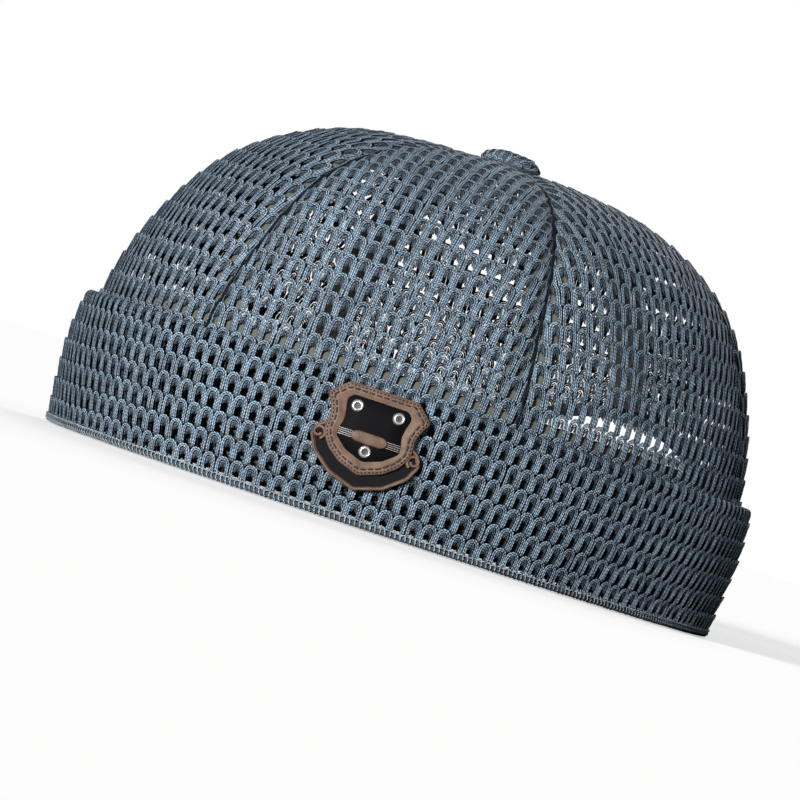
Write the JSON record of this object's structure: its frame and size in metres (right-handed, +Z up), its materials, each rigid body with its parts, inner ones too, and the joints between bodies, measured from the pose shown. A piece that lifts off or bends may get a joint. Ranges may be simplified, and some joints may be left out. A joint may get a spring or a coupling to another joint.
{
  "type": "mesh skull cap",
  "caption": "Brimless mesh-knit skull cap with a deep turned-up cuff, cloth sweatband, leather badge and a buckled webbing strap across an arch at the back.",
  "frame": {"origin": "middle of the cap's bounding box on the surface that the rim rests on", "axes": "+Z up from the rim to the button, -Y to the front of the cap, +X to the wearer's left"},
  "size_m": [0.1818, 0.2062, 0.1091],
  "materials": {
    "net": "coarse mesh knit in steel blue yarn",
    "band_cloth": "grey green twill, sewn in rows",
    "binding": "narrow dark blue binding tape",
    "webbing": "black ribbed nylon webbing",
    "buckle": "moulded black plastic",
    "badge_leather": "moulded brown leather",
    "badge_lacquer": "black recessed field",
    "rivet": "polished"
  },
  "bodies": {
    "root": {"crown_panel_1": "net", "crown_panel_2": "net", "crown_panel_3": "net", "crown_panel_4": "net", "crown_panel_5": "net", "crown_panel_6": "net", "seam_tape_1": "band_cloth", "seam_tape_2": "band_cloth", "seam_tape_3": "band_cloth", "seam_tape_4": "band_cloth", "seam_tape_5": "band_cloth", "seam_tape_6": "band_cloth", "top_button": "net", "cuff": "net", "sweatband": "band_cloth", "arch_binding": "binding", "back_strap": "webbing", "strap_anchor": "webbing", "slider_buckle": "buckle", "badge_shield": "badge_leather", "badge_plate": "badge_lacquer", "badge_bar": "badge_leather", "badge_rivet_1": "rivet", "badge_rivet_2": "rivet", "badge_rivet_3": "rivet"}
  },
  "joints": []
}
